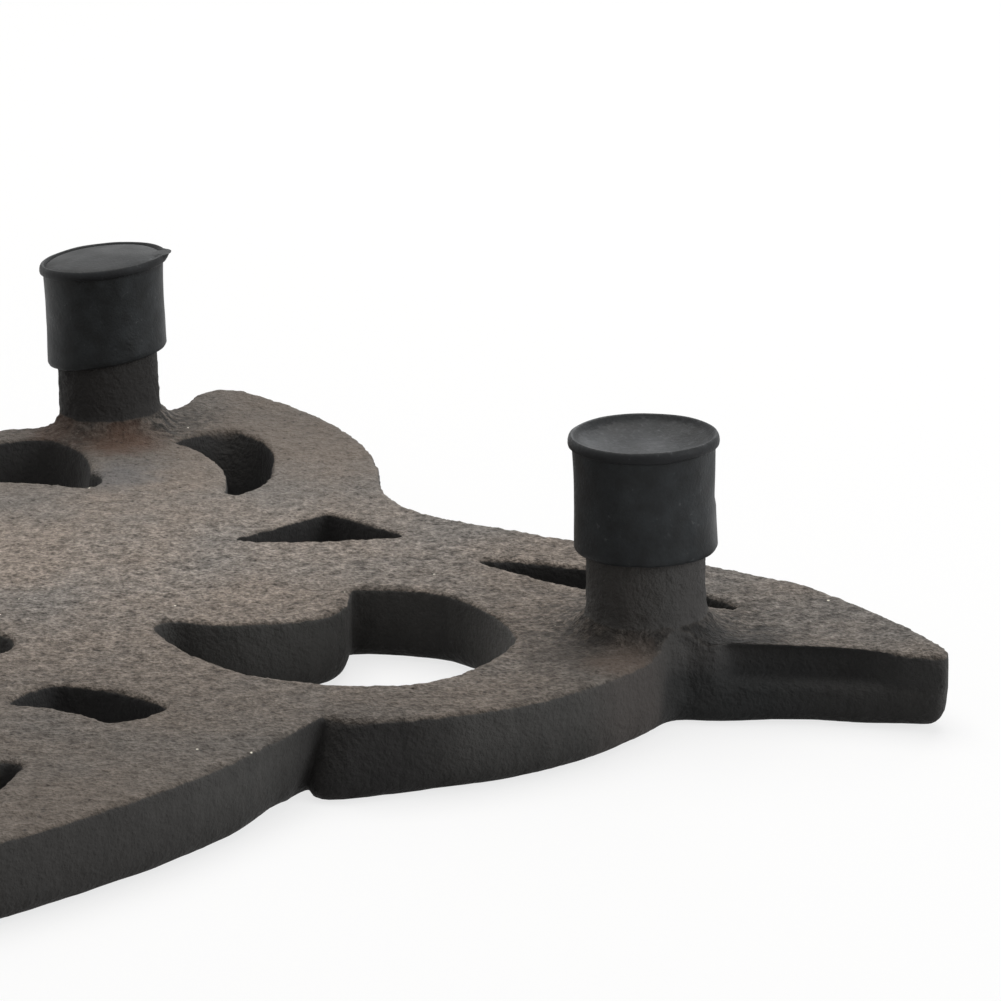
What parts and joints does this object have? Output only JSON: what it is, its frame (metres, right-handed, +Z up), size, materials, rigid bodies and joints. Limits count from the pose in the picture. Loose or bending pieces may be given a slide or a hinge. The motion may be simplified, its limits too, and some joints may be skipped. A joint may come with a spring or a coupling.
{
  "type": "trivet",
  "caption": "Pierced cast-iron trivet of scrolled leaves and petals on short round legs with rubber foot caps, lying pot side down.",
  "frame": {"origin": "centre of the plate, in the plane of its pot side, which is the side that lies on the ground in the picture", "axes": "+Z up as pictured, from the pot side towards the feet; +X along the plate, towards the leaf tip in the picture; +Y away from the viewer. Turned over about X for use."},
  "size_m": [0.166, 0.138, 0.0231],
  "materials": {
    "cast_iron": "rough sand-cast, seasoned dark brown-black",
    "rubber": "satin moulded"
  },
  "bodies": {
    "casting": {"trivet_casting": "cast_iron"},
    "cap_right": {"foot_cap_right": "rubber"},
    "cap_back": {"foot_cap_back": "rubber"},
    "cap_left": {"foot_cap_left": "rubber"},
    "cap_front": {"foot_cap_front": "rubber"}
  },
  "joints": [
    {"name": "cap_right_pull", "type": "slide", "parent": "casting", "child": "cap_right", "axis": [0, 0, 1], "range_m": [0, 0.012]},
    {"name": "cap_back_pull", "type": "slide", "parent": "casting", "child": "cap_back", "axis": [0, 0, 1], "range_m": [0, 0.012]},
    {"name": "cap_left_pull", "type": "slide", "parent": "casting", "child": "cap_left", "axis": [0, 0, 1], "range_m": [0, 0.012]},
    {"name": "cap_front_pull", "type": "slide", "parent": "casting", "child": "cap_front", "axis": [0, 0, 1], "range_m": [0, 0.012]}
  ]
}
